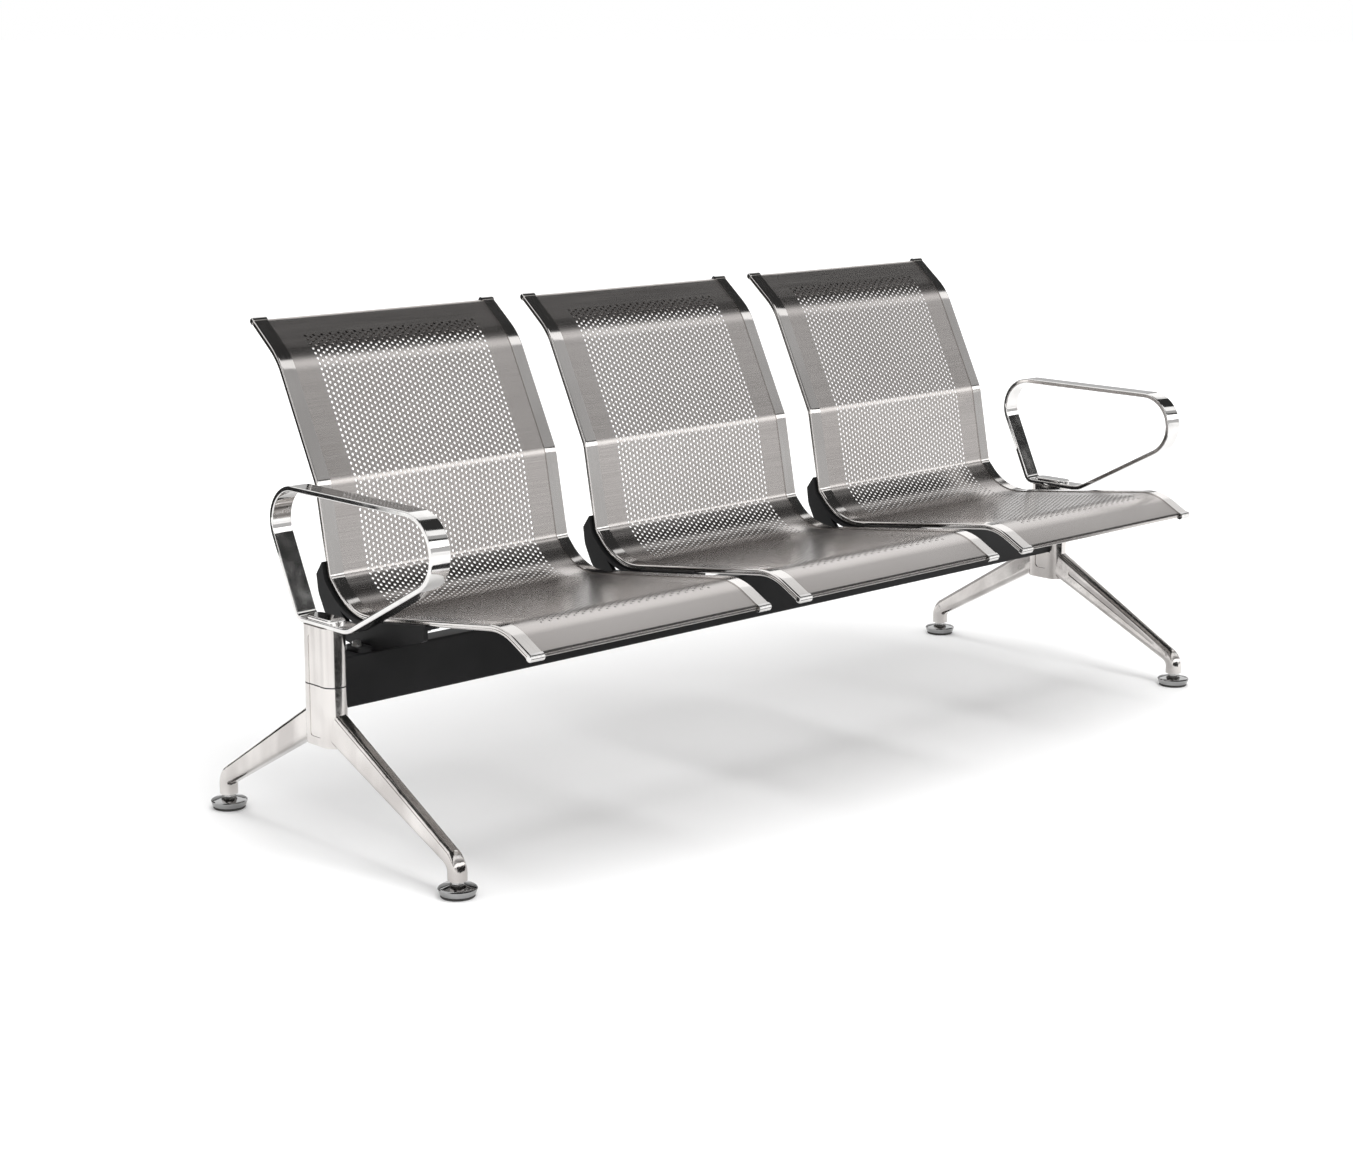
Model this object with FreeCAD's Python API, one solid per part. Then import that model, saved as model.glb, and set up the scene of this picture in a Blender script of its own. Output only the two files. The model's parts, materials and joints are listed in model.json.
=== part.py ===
import FreeCAD, Part
import math
import os

# Beam seating with three places: construction of every separate piece.
# Millimetres, Z up, X along the beam, the seats face -Y.
# Side outlines are written as (Y, Z) points measured from the beam's centre line.

V = FreeCAD.Vector
os.makedirs("parts", exist_ok=True)

# Whole bench
SEAT_PITCH = 548.0
SEATS = (1, 2, 3)
LEG_X = 868.0
BEAM_Y = 41.0

# Seat shell: side outline of the sheet's front face, from the top edge to the front lip
TOP_EDGE = (275.0, 768.0)
HEADREST_BEND = (212.0, 717.0)
LUMBAR_CREASE = (119.5, 533.0)
LOWER_CREASE = (92.0, 391.0)
BACK_CORNER = (42.5, 338.0)
KNEE = (-317.0, 383.5)
FRONT_LIP = (-375.0, 352.0)
SIDE_POINTS = [TOP_EDGE, HEADREST_BEND, LUMBAR_CREASE, LOWER_CREASE, BACK_CORNER, KNEE, FRONT_LIP]
SIDE_RADII = [0.0, 110.0, 40.0, 18.0, 105.0, 90.0, 0.0]
# Radii that stay positive when the outline is moved far towards the sitter
SPACE_RADII = [0.0, 110.0, 40.0, 0.0, 0.0, 90.0, 0.0]
SHEET = 1.5
CLEAR_HALF = 216.5
SHEET_TUCK = 15.0
HEM_GAP = 1.6
HEM_RETURN = 12.0
HEM_HALF = 213.0
# Plain grid of openings that stands for the close field of small punched holes
OPENINGS_ACROSS = 10
OPENING_ROWS = 20
FIELD_HALF = 171.6
FIELD_START = 36.0
FIELD_LENGTH = 828.0
OPENING_SHARE = 0.53

# Side rails that clasp the sheet's edges
RAIL_WIDTH = 25.0
RAIL_FRONT = 3.0
RAIL_BACK = -7.0
RAIL_ROUND = 3.0
RAIL_GROOVE_TOP = -1.0
RAIL_GROOVE_BOTTOM = -3.0
RAIL_GROOVE_DEPTH = 1.5
FIT_GAP = 0.3
CAP_OVER = 0.8
CAP_LENGTH = 9.0
CAP_TONGUE = 8.0
TONGUE_BAND = (-5.6, -2.6)
TONGUE_SPAN = (6.0, 20.0)
TONGUE_GAP = 0.15
CAP_NOSE_ROUND = 5.0
CAP_EDGE_ROUND = 2.5

# Brackets between the beam and the rails
FLANGE_IN = 1.0
WEB_OUT = 31.0
WEB_THICK = 8.0
FLANGE_THICK = 5.7
LIP_HEIGHT = 2.6
FOOT_IN = -3.0
FOOT_OUT = 55.0
FOOT_HALF = 19.0
FOOT_THICK = 8.0
FOOT_CORNER = 8.0
FOOT_BOLTS = (9.0, 45.0)
LIP_FRONT = -146.0
LIP_REAR = -20.0
RAIL_SCREW_U = 12.5
RAIL_SCREW_R = 2.5
RAIL_SCREW_TIP = -2.6
RAIL_SCREW_HEAD_R = 4.6
RAIL_SCREW_HEAD_H = 3.2
RAIL_THREAD_R = 2.6
RAIL_THREAD_END = -2.4
BRACKET_HOLE_R = 2.8
SEAT_SCREWS = (100.0, 175.0)
BACK_SCREW = 13.0

# Beam
BEAM_DEPTH = 40.0
BEAM_HEIGHT = 80.0
BEAM_WALL = 2.5
BEAM_CORNER = 4.0
BEAM_BASE = 216.0
BEAM_TOP = BEAM_BASE + BEAM_HEIGHT
BEAM_END = 877.0
BOLT_R = 4.0
BOLT_HOLE_R = 4.4
BOLT_FLATS = 13.0
BOLT_HEAD_H = 5.4
BOLT_REACH = 10.0
WASHER_R = 8.0
WASHER_H = 1.6
NUT_H = 6.5
THREAD_GAP = 0.1

# Leg castings and columns
COLUMN_WIDTH = 40.0
COLUMN_LENGTH = 78.0
HUB_BASE = 163.0
SEAM_LOW = 255.0
SEAM_HIGH = 257.0
COLUMN_TOP = 346.0
SOCKET_GAP = 0.3
CLAMP_Y = 29.0
CLAMP_SEAT = 190.0
CLAMP_TIP = 288.0
CLAMP_HEAD_R = 6.5
CLAMP_HEAD_H = 8.0
COUNTERBORE_R = 7.2
LEG_END = 24.0
GASKET_INSET = 0.8
CLAMP_KEY = 6.0
CLAMP_KEY_DEPTH = 4.0
PANEL_Y = (-13.0, 15.0)
PANEL_Z = (176.0, 332.0)
PANEL_ROUND = 5.0
PANEL_DEPTH = 0.8
RECESS_HALF = 16.0
RECESS_Z = (182.0, 213.5)
RECESS_DEPTH = 1.5
GROOVE_START = (-62.0, 181.0)
GROOVE_END = (-268.0, 76.5)
GROOVE_HALF = 4.5
GROOVE_FLOOR = 11.6
FRONT_FOOT_Y = -307.0
REAR_FOOT_Y = 272.0
END_SIZE = 28.0

# Armrest loops
BAR_WIDTH = 35.0
BAR_THICK = 8.0
LOOP_POINTS = [(46.0, COLUMN_TOP), (141.5, 550.0), (-466.0, 550.5), (-80.0, COLUMN_TOP)]
LOOP_RADII = [20.0, 58.0, 60.0, 60.0]
BAR_ROUND = 1.8
ARM_SCREWS = (-24.0, 18.0)
ARM_SCREW_R = 3.0
ARM_SCREW_REACH = 22.0
ARM_SCREW_HEAD_R = 5.5
ARM_SCREW_HEAD_H = 3.3
ARM_HOLE_R = 3.4
ARM_THREAD_R = 3.1
ARM_THREAD_DEPTH = 24.0
PLATE_WIDTH = 30.0
PLATE_LENGTH = 76.0
PLATE_HEIGHT = 5.5
PLATE_ROUND = 2.5
PLATE_WALL = 3.0
PLATE_TOP = 1.5
PLATE_Y = -5.0

# Levelling glides
STEM_R = 5.0
STEM_BORE_R = 5.06
STEM_TOP = 62.0
STEM_BORE_TOP = 72.0
COLLAR_FLATS = 17.0
COLLAR_LOW = 17.0
PAD_R = 25.5
CAP_R = 29.0


def yz(y, z, x=0.0):
    return V(x, y, z)


def unit(a, b):
    length = math.hypot(b[0] - a[0], b[1] - a[1])
    return ((b[0] - a[0]) / length, (b[1] - a[1]) / length)


def offset_path(points, radii, distance, closed=False):
    """Move a path sideways; positive is towards the sitter (right of its direction)."""
    count = len(points)
    legs = count if closed else count - 1
    directions = [unit(points[i], points[(i + 1) % count]) for i in range(legs)]
    moved = []
    new_radii = []
    for i, point in enumerate(points):
        has_before = closed or i > 0
        has_after = closed or i < count - 1
        before = directions[i - 1] if has_before else directions[i]
        after = directions[i] if has_after else directions[i - 1]
        n1 = (before[1], -before[0])
        n2 = (after[1], -after[0])
        scale = distance / (1.0 + n1[0] * n2[0] + n1[1] * n2[1])
        moved.append((point[0] + scale * (n1[0] + n2[0]), point[1] + scale * (n1[1] + n2[1])))
        turns_to_front = after[0] * n1[0] + after[1] * n1[1] > 0
        radius = radii[i]
        if radius > 0:
            radius = radius - distance if turns_to_front else radius + distance
        new_radii.append(radius)
    return moved, new_radii


def path_edges(points, radii, closed=False, x=0.0):
    """Straight lines with rounded corners through (Y, Z) points."""
    count = len(points)
    edges = []
    starts = []
    ends = []
    for i, point in enumerate(points):
        corner = closed or 0 < i < count - 1
        if not corner or radii[i] <= 0:
            starts.append(point)
            ends.append(point)
            continue
        before = unit(point, points[i - 1])
        after = unit(point, points[(i + 1) % count])
        cosine = before[0] * after[0] + before[1] * after[1]
        half = math.acos(max(-1.0, min(1.0, cosine))) / 2.0
        reach = radii[i] / math.tan(half)
        a = (point[0] + before[0] * reach, point[1] + before[1] * reach)
        b = (point[0] + after[0] * reach, point[1] + after[1] * reach)
        middle = unit((0, 0), (before[0] + after[0], before[1] + after[1]))
        rise = radii[i] / math.sin(half) - radii[i]
        m = (point[0] + middle[0] * rise, point[1] + middle[1] * rise)
        starts.append(a)
        ends.append(b)
        edges.append((i, Part.Arc(yz(*a, x), yz(*m, x), yz(*b, x)).toShape()))
    arcs = dict(edges)
    ordered = []
    last = count if closed else count - 1
    for i in range(count):
        if i in arcs:
            ordered.append(arcs[i])
        if i < last:
            a = ends[i]
            b = starts[(i + 1) % count]
            if math.hypot(a[0] - b[0], a[1] - b[1]) > 1e-6:
                ordered.append(Part.makeLine(yz(*a, x), yz(*b, x)))
    return ordered


def outline_solid(points, radii, x0, x1):
    """Extrude a closed rounded outline along X."""
    low, high = min(x0, x1), max(x0, x1)
    wire = Part.Wire(Part.__sortEdges__(path_edges(points, radii, True, low)))
    return Part.Face(wire).extrude(V(high - low, 0, 0))


def ribbon(front, back, x0, x1, points=SIDE_POINTS, radii=SIDE_RADII):
    """The band between two offsets of the seat's side outline, extruded along X."""
    low, high = min(x0, x1), max(x0, x1)
    p1, r1 = offset_path(points, radii, front)
    p2, r2 = offset_path(points, radii, back)
    edges = path_edges(p1, r1, False, low) + path_edges(p2, r2, False, low)
    edges.append(Part.makeLine(yz(*p1[0], low), yz(*p2[0], low)))
    edges.append(Part.makeLine(yz(*p1[-1], low), yz(*p2[-1], low)))
    wire = Part.Wire(Part.__sortEdges__(edges))
    return Part.Face(wire).extrude(V(high - low, 0, 0))


def box(x0, x1, y0, y1, z0, z1):
    return Part.makeBox(x1 - x0, y1 - y0, z1 - z0, V(x0, y0, z0))


def cylinder(radius, x, y, z0, z1):
    return Part.makeCylinder(radius, z1 - z0, V(x, y, z0))


def hexagon(flats, x, y, z0, z1):
    corner = flats / math.sqrt(3.0)
    points = [V(x + corner * math.cos(math.radians(60 * k)), y + corner * math.sin(math.radians(60 * k)), z0)
              for k in range(7)]
    return Part.Face(Part.makePolygon(points)).extrude(V(0, 0, z1 - z0))


def fuse_all(shapes):
    result = shapes[0]
    for other in shapes[1:]:
        result = result.fuse(other)
    return result.removeSplitter()


def cut_all(shape, tools):
    for tool in tools:
        shape = shape.cut(tool)
    return shape


def seat_centre(seat):
    return (seat - 2) * SEAT_PITCH


def side_x(seat, side, u):
    """X at the distance u outward from the clear sheet's edge."""
    return seat_centre(seat) + side * (CLEAR_HALF + u)


def local_point(origin, along, normal, s, n):
    return (origin[0] + along[0] * s + normal[0] * n, origin[1] + along[1] * s + normal[1] * n)


# One-piece seat and back sheet with a hem along its top and front edges
def hem(seat, tip, previous, normal):
    along = unit(previous, tip)
    low = seat_centre(seat) - HEM_HALF
    total = 2 * SHEET + HEM_GAP

    def at(s, n):
        p = local_point(tip, along, normal, s, n)
        return yz(p[0], p[1], low)

    edges = [
        Part.Arc(at(0, 0), at(total / 2, -total / 2), at(0, -total)).toShape(),
        Part.makeLine(at(0, -total), at(-HEM_RETURN, -total)),
        Part.makeLine(at(-HEM_RETURN, -total), at(-HEM_RETURN, -total + SHEET)),
        Part.makeLine(at(-HEM_RETURN, -total + SHEET), at(0, -total + SHEET)),
        Part.Arc(at(0, -total + SHEET), at(HEM_GAP / 2, -total / 2), at(0, -SHEET)).toShape(),
        Part.makeLine(at(0, -SHEET), at(0, 0)),
    ]
    return Part.Face(Part.Wire(edges)).extrude(V(2 * HEM_HALF, 0, 0))


def front_normal(a, b):
    d = unit(a, b)
    return (d[1], -d[0])


def outline_place(distance):
    """Point and direction on the side outline at a distance from the top edge."""
    for edge in path_edges(SIDE_POINTS, SIDE_RADII):
        if distance <= edge.Length:
            break
        distance -= edge.Length
    start, end = edge.ParameterRange
    at_start = edge.valueAt(start)
    forward = at_start.y > edge.valueAt(end).y
    parameter = edge.getParameterByLength(distance if forward else edge.Length - distance)
    tangent = edge.tangentAt(parameter)
    if tangent.y > 0:
        tangent = tangent * -1.0
    return edge.valueAt(parameter), tangent


def opening_row(seat, distance):
    """One row of openings, square to the sheet at its place on the outline."""
    pitch_x = 2 * FIELD_HALF / OPENINGS_ACROSS
    width = pitch_x * OPENING_SHARE
    height = FIELD_LENGTH / OPENING_ROWS * OPENING_SHARE
    point, tangent = outline_place(distance)
    angle = math.degrees(math.atan2(tangent.z, tangent.y))
    first = seat_centre(seat) - FIELD_HALF + pitch_x / 2
    row = []
    for index in range(OPENINGS_ACROSS):
        tool = box(-width / 2, width / 2, -height / 2, height / 2, -2 * SHEET, 2 * SHEET)
        tool.Placement = FreeCAD.Placement(V(first + index * pitch_x, point.y, point.z),
                                           FreeCAD.Rotation(V(1, 0, 0), angle))
        row.append(tool)
    return row


def sheet_openings(seat):
    tools = []
    for row in range(OPENING_ROWS):
        tools += opening_row(seat, FIELD_START + FIELD_LENGTH * (row + 0.5) / OPENING_ROWS)
    return Part.makeCompound(tools)


def seat_shell(seat):
    half = CLEAR_HALF + SHEET_TUCK
    sheet = ribbon(0.0, -SHEET, seat_centre(seat) - half, seat_centre(seat) + half)
    sheet = sheet.cut(sheet_openings(seat))
    top = hem(seat, TOP_EDGE, HEADREST_BEND, front_normal(TOP_EDGE, HEADREST_BEND))
    front = hem(seat, FRONT_LIP, KNEE, front_normal(KNEE, FRONT_LIP))
    return fuse_all([sheet, top, front])


# Side rail: a channel with a rounded, grooved outer side
def end_pocket(seat, side, tip, previous, normal, grow, length):
    """The cap's tongue, or the pocket that takes it when grown."""
    along = unit(previous, tip)
    low = TONGUE_BAND[0] - grow
    high = TONGUE_BAND[1] + grow
    corners = [(-length, low), (0.5, low), (0.5, high), (-length, high)]
    points = [local_point(tip, along, normal, s, n) for s, n in corners]
    inner = side_x(seat, side, TONGUE_SPAN[0] - grow)
    outer = side_x(seat, side, TONGUE_SPAN[1] + grow)
    return outline_solid(points, [0] * 4, inner, outer)


def rail_ends():
    return [
        (TOP_EDGE, HEADREST_BEND, front_normal(TOP_EDGE, HEADREST_BEND)),
        (FRONT_LIP, KNEE, front_normal(KNEE, FRONT_LIP)),
    ]


def side_rail(seat, side):
    inner = side_x(seat, side, 0.0)
    outer = side_x(seat, side, RAIL_WIDTH)
    body = ribbon(RAIL_FRONT, RAIL_BACK, inner, outer)
    thickness = RAIL_FRONT - RAIL_BACK
    chain = []
    for edge in body.Edges:
        on_outer = all(abs(v.X - outer) < 1e-4 for v in edge.Vertexes)
        across = abs(edge.Length - thickness) < 1e-3 and isinstance(edge.Curve, Part.Line)
        if on_outer and not across:
            chain.append(edge)
    body = body.makeFillet(RAIL_ROUND, chain)
    groove_in = side_x(seat, side, RAIL_WIDTH - RAIL_GROOVE_DEPTH)
    groove_out = side_x(seat, side, RAIL_WIDTH + 2.0)
    groove = ribbon(RAIL_GROOVE_TOP, RAIL_GROOVE_BOTTOM, groove_in, groove_out)
    slot = ribbon(FIT_GAP, -SHEET - FIT_GAP, side_x(seat, side, -2.0), side_x(seat, side, SHEET_TUCK + FIT_GAP))
    body = cut_all(body, [groove, slot])
    for tip, previous, normal in rail_ends():
        body = body.cut(end_pocket(seat, side, tip, previous, normal, TONGUE_GAP, CAP_TONGUE + 0.5))
    for place in rail_screw_places():
        body = body.cut(rail_screw_hole(seat, side, place, RAIL_THREAD_R, RAIL_BACK - 2.0, RAIL_THREAD_END))
    return body


def end_cap(seat, side, tip, previous, normal):
    """Rounded cap over a rail's end with a tongue inside the rail."""
    along = unit(previous, tip)
    top = RAIL_FRONT + CAP_OVER
    bottom = RAIL_BACK - CAP_OVER
    corners = [(0.0, bottom), (CAP_LENGTH, bottom), (CAP_LENGTH, top), (0.0, top)]
    points = [local_point(tip, along, normal, s, n) for s, n in corners]
    inner = side_x(seat, side, -CAP_OVER)
    outer = side_x(seat, side, RAIL_WIDTH + CAP_OVER)
    body = outline_solid(points, [0, CAP_NOSE_ROUND, CAP_NOSE_ROUND, 0], inner, outer)
    end_edges = [e for e in body.Edges
                 if all(abs(v.X - outer) < 1e-4 for v in e.Vertexes)
                 and e.CenterOfMass.sub(yz(*tip, outer)).dot(yz(*along)) > 0.5]
    body = body.makeFillet(CAP_EDGE_ROUND, end_edges)
    tongue = end_pocket(seat, side, tip, previous, normal, 0.0, CAP_TONGUE)
    return body.fuse(tongue).removeSplitter()


def end_caps(seat, which):
    tip, previous, normal = rail_ends()[which]
    return Part.makeCompound([end_cap(seat, side, tip, previous, normal) for side in (-1, 1)])


# Cast bracket: a web on the beam, a flange along the rail and a bolted foot
BRACKET_OUTLINE = [(LIP_FRONT, 385.0), (LIP_FRONT, 333.0), (-136.0, 329.5), (-19.0, BEAM_TOP), (19.0, BEAM_TOP),
                   (58.0, 303.0), (97.0, 332.0), (115.0, 366.0), (119.0, 394.0), (103.0, 416.0), (70.0, 425.0)]
BRACKET_RADII = [0, 5.0, 12.0, 0, 0, 25.0, 40.0, 40.0, 4.0, 3.0, 0]


def rail_screw_places():
    """Foot points on the sheet's outline and the direction down into the bracket."""
    seat_line = unit(BACK_CORNER, KNEE)
    seat_normal = front_normal(BACK_CORNER, KNEE)
    back_line = unit(LUMBAR_CREASE, LOWER_CREASE)
    back_normal = front_normal(LUMBAR_CREASE, LOWER_CREASE)
    places = []
    for distance in SEAT_SCREWS:
        point = (BACK_CORNER[0] + seat_line[0] * distance, BACK_CORNER[1] + seat_line[1] * distance)
        places.append((point, seat_normal))
    point = (LOWER_CREASE[0] - back_line[0] * BACK_SCREW, LOWER_CREASE[1] - back_line[1] * BACK_SCREW)
    places.append((point, back_normal))
    return places


def rail_screw_hole(seat, side, place, radius, low, high):
    point, normal = place
    direction = yz(normal[0], normal[1])
    base = yz(point[0] + normal[0] * low, point[1] + normal[1] * low, side_x(seat, side, RAIL_SCREW_U))
    return Part.makeCylinder(radius, high - low, base, direction)


def bracket(seat, side):
    top = RAIL_BACK - FIT_GAP
    web = outline_solid(BRACKET_OUTLINE, BRACKET_RADII, side_x(seat, side, WEB_OUT - WEB_THICK),
                        side_x(seat, side, WEB_OUT))
    whole = outline_solid(BRACKET_OUTLINE, BRACKET_RADII, side_x(seat, side, FLANGE_IN),
                          side_x(seat, side, WEB_OUT))
    flange = whole.common(ribbon(top, top - FLANGE_THICK, side_x(seat, side, FLANGE_IN - 1),
                                 side_x(seat, side, WEB_OUT + 1)))
    seat_space = ribbon(80.0, top, side_x(seat, side, FLANGE_IN - 5), side_x(seat, side, WEB_OUT + 5),
                        SIDE_POINTS, SPACE_RADII)
    web = web.cut(seat_space)
    lip_band = ribbon(top + LIP_HEIGHT, top - 1.0, side_x(seat, side, RAIL_WIDTH + 0.6),
                      side_x(seat, side, WEB_OUT))
    front = box(*sorted((side_x(seat, side, RAIL_WIDTH), side_x(seat, side, WEB_OUT + 1))), LIP_FRONT, LIP_REAR,
                BEAM_TOP, KNEE[1])
    lip = lip_band.common(front)
    foot = box(*sorted((side_x(seat, side, FOOT_IN), side_x(seat, side, FOOT_OUT))), -FOOT_HALF, FOOT_HALF,
               BEAM_TOP, BEAM_TOP + FOOT_THICK)
    upright = [e for e in foot.Edges if abs(e.Length - FOOT_THICK) < 1e-6]
    foot = foot.makeFillet(FOOT_CORNER, upright)
    body = fuse_all([web, flange, lip, foot])
    for place in rail_screw_places():
        body = body.cut(rail_screw_hole(seat, side, place, BRACKET_HOLE_R, top - WEB_OUT, top + 1.0))
    foot_top = BEAM_TOP + FOOT_THICK
    for u in FOOT_BOLTS:
        body = body.cut(cylinder(BOLT_HOLE_R, side_x(seat, side, u), 0, BEAM_TOP - 1, foot_top + 1))
    return body


def rail_screws(seat):
    screws = []
    head_top = RAIL_BACK - FIT_GAP - FLANGE_THICK
    for side in (-1, 1):
        for place in rail_screw_places():
            shank = rail_screw_hole(seat, side, place, RAIL_SCREW_R, head_top, RAIL_SCREW_TIP)
            head_low = head_top - RAIL_SCREW_HEAD_H
            head = rail_screw_hole(seat, side, place, RAIL_SCREW_HEAD_R, head_low, head_top)
            screws.append(shank.fuse(head).removeSplitter())
    return Part.makeCompound(screws)


def bracket_bolts(seat):
    bolts = []
    head = BEAM_TOP + FOOT_THICK
    for side in (-1, 1):
        for u in FOOT_BOLTS:
            x = side_x(seat, side, u)
            washer = cylinder(WASHER_R, x, 0, head, head + WASHER_H)
            hexagon_head = hexagon(BOLT_FLATS, x, 0, head + WASHER_H, head + WASHER_H + BOLT_HEAD_H)
            shank = cylinder(BOLT_R, x, 0, BEAM_TOP - BEAM_WALL - BOLT_REACH, head + WASHER_H)
            bolts.append(fuse_all([washer, hexagon_head, shank]))
    return Part.makeCompound(bolts)


def beam_nuts():
    nuts = []
    top = BEAM_TOP - BEAM_WALL
    for seat in SEATS:
        for side in (-1, 1):
            for u in FOOT_BOLTS:
                x = side_x(seat, side, u)
                nut = hexagon(BOLT_FLATS, x, 0, top - NUT_H, top)
                nuts.append(nut.cut(cylinder(BOLT_R + THREAD_GAP, x, 0, top - NUT_H - 1.0, top + 1.0)))
    return Part.makeCompound(nuts)


# Rectangular tube under the seats
def tube_block(depth, height, corner, base, end):
    block = box(-end, end, -depth / 2, depth / 2, base, base + height)
    return block.makeFillet(corner, [e for e in block.Edges if abs(e.Length - 2 * end) < 1e-6])


def beam():
    outer = tube_block(BEAM_DEPTH, BEAM_HEIGHT, BEAM_CORNER, BEAM_BASE, BEAM_END)
    inner = tube_block(BEAM_DEPTH - 2 * BEAM_WALL, BEAM_HEIGHT - 2 * BEAM_WALL, BEAM_CORNER - BEAM_WALL,
                       BEAM_BASE + BEAM_WALL, BEAM_END + 1.0)
    tube = outer.cut(inner)
    for seat in SEATS:
        for side in (-1, 1):
            for u in FOOT_BOLTS:
                tube = tube.cut(cylinder(BOLT_HOLE_R, side_x(seat, side, u), 0, BEAM_TOP - 5, BEAM_TOP + 1))
    return tube


# Cast leg, its column and the gasket between them
def round_ended(x, width, length, z0, z1):
    r = width / 2.0
    straight = length / 2.0 - r
    a, b = V(x - r, -straight, z0), V(x + r, -straight, z0)
    c, d = V(x + r, straight, z0), V(x - r, straight, z0)
    edges = [
        Part.Arc(a, V(x, -straight - r, z0), b).toShape(),
        Part.makeLine(b, c),
        Part.Arc(c, V(x, straight + r, z0), d).toShape(),
        Part.makeLine(d, a),
    ]
    return Part.Face(Part.Wire(edges)).extrude(V(0, 0, z1 - z0))


def beam_socket(side, z0, z1):
    """Space for the beam's end, open towards the middle of the bench."""
    half = BEAM_DEPTH / 2 + SOCKET_GAP
    near = side * (LEG_X - COLUMN_WIDTH / 2 - 5.0)
    far = side * (BEAM_END + SOCKET_GAP)
    return box(*sorted((near, far)), -half, half, z0, z1)


def arm_section(x, centre, angle, height, top_width, low_width, corner):
    """Closed section of a leg arm: narrow rounded top, wider foot, square to the arm's direction."""
    up = (-math.sin(angle), math.cos(angle))
    half = height / 2.0
    shape = [(-low_width / 2, -half), (low_width / 2, -half), (top_width / 2, half), (-top_width / 2, half)]
    corners = []
    for i in range(4):
        before = unit(shape[i], shape[i - 1])
        after = unit(shape[i], shape[(i + 1) % 4])
        cosine = before[0] * after[0] + before[1] * after[1]
        opening = math.acos(cosine) / 2.0
        reach = corner / math.tan(opening)
        rise = corner / math.sin(opening) - corner
        middle = unit((0, 0), (before[0] + after[0], before[1] + after[1]))
        corners.append((
            (shape[i][0] + before[0] * reach, shape[i][1] + before[1] * reach),
            (shape[i][0] + middle[0] * rise, shape[i][1] + middle[1] * rise),
            (shape[i][0] + after[0] * reach, shape[i][1] + after[1] * reach),
        ))

    def place(p):
        return V(x + p[0], centre[0] + up[0] * p[1], centre[1] + up[1] * p[1])

    edges = []
    for i in range(4):
        a, m, b = corners[i]
        edges.append(Part.Arc(place(a), place(m), place(b)).toShape())
        edges.append(Part.makeLine(place(b), place(corners[(i + 1) % 4][0])))
    return Part.Wire(edges)


# A leg arm: a straight taper from the hub, a bend, and a short upright end
class Arm:
    def __init__(self, start, foot_y, slope, heights, top_widths, low_widths, bend_radius):
        self.start = start
        self.foot_y = foot_y
        self.slope = math.radians(slope)
        self.heights = heights
        self.top_widths = top_widths
        self.low_widths = low_widths
        self.bend_radius = bend_radius


FRONT_ARM = Arm((-6.0, 205.5), FRONT_FOOT_Y, 27.2, (46.0, 25.0), (22.5, 19.5), (34.5, 28.0), 26.0)
REAR_ARM = Arm((8.0, 207.0), REAR_FOOT_Y, 30.5, (46.0, 29.5), (23.0, 20.5), (34.5, 28.0), 24.0)
END_TOP_WIDTH = 27.0
ARM_CORNER = 7.5
END_CORNER = 12.0
BEND_STEPS = 4


def leg_arm(x, arm):
    """Straight part, bend and upright end of one arm, fused."""
    way = 1.0 if arm.foot_y > arm.start[0] else -1.0
    along = (way * math.cos(arm.slope), -math.sin(arm.slope))
    run = abs(arm.foot_y - arm.start[0]) / math.cos(arm.slope)
    turn = math.pi / 2 - arm.slope
    reach = arm.bend_radius * math.tan(turn / 2)
    bend_start = (arm.start[0] + along[0] * (run - reach), arm.start[1] + along[1] * (run - reach))
    inward = (-way * math.sin(arm.slope), -math.cos(arm.slope))
    hinge = (bend_start[0] + inward[0] * arm.bend_radius, bend_start[1] + inward[1] * arm.bend_radius)

    def section(centre, slope, height, top_width, low_width, corner):
        return arm_section(x, centre, -way * slope, height, top_width, low_width, corner)

    first = section(arm.start, arm.slope, arm.heights[0], arm.top_widths[0], arm.low_widths[0], ARM_CORNER)
    bend = []
    for step in range(BEND_STEPS + 1):
        t = step / BEND_STEPS
        slope = arm.slope + turn * t
        centre = (hinge[0] + way * math.sin(slope) * arm.bend_radius,
                  hinge[1] + math.cos(slope) * arm.bend_radius)
        bend.append(section(centre, slope, arm.heights[1] + (END_SIZE - arm.heights[1]) * t,
                            arm.top_widths[1] + (END_TOP_WIDTH - arm.top_widths[1]) * t, arm.low_widths[1],
                            ARM_CORNER + (END_CORNER - ARM_CORNER) * t))
    last = section((arm.foot_y, LEG_END), math.pi / 2, END_SIZE, END_TOP_WIDTH, arm.low_widths[1], END_CORNER)
    pieces = [Part.makeLoft([first, bend[0]], True, True), Part.makeLoft(bend, True, False),
              Part.makeLoft([bend[-1], last], True, True)]
    return fuse_all(pieces)


def clamp_bores(x, z0, z1, radius):
    return [cylinder(radius, x, y, z0, z1) for y in (-CLAMP_Y, CLAMP_Y)]


def outer_panel(side, z0, z1):
    """Shallow recess on the outward face of the column and hub."""
    face = side * (LEG_X + COLUMN_WIDTH / 2)
    points = [(PANEL_Y[0], z0), (PANEL_Y[1], z0), (PANEL_Y[1], z1), (PANEL_Y[0], z1)]
    low = PANEL_ROUND if z0 == PANEL_Z[0] else 0.0
    high = PANEL_ROUND if z1 == PANEL_Z[1] else 0.0
    return outline_solid(points, [low, low, high, high], face - side * PANEL_DEPTH, face + side * 3.0)


def inner_recess(side):
    """U-shaped recess under the beam on the inward face of the hub."""
    face = side * (LEG_X - COLUMN_WIDTH / 2)
    points = [(-RECESS_HALF, RECESS_Z[0]), (RECESS_HALF, RECESS_Z[0]),
              (RECESS_HALF, RECESS_Z[1]), (-RECESS_HALF, RECESS_Z[1])]
    return outline_solid(points, [9.0, 9.0, 2.0, 2.0], face + side * RECESS_DEPTH, face - side * 3.0)


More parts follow.
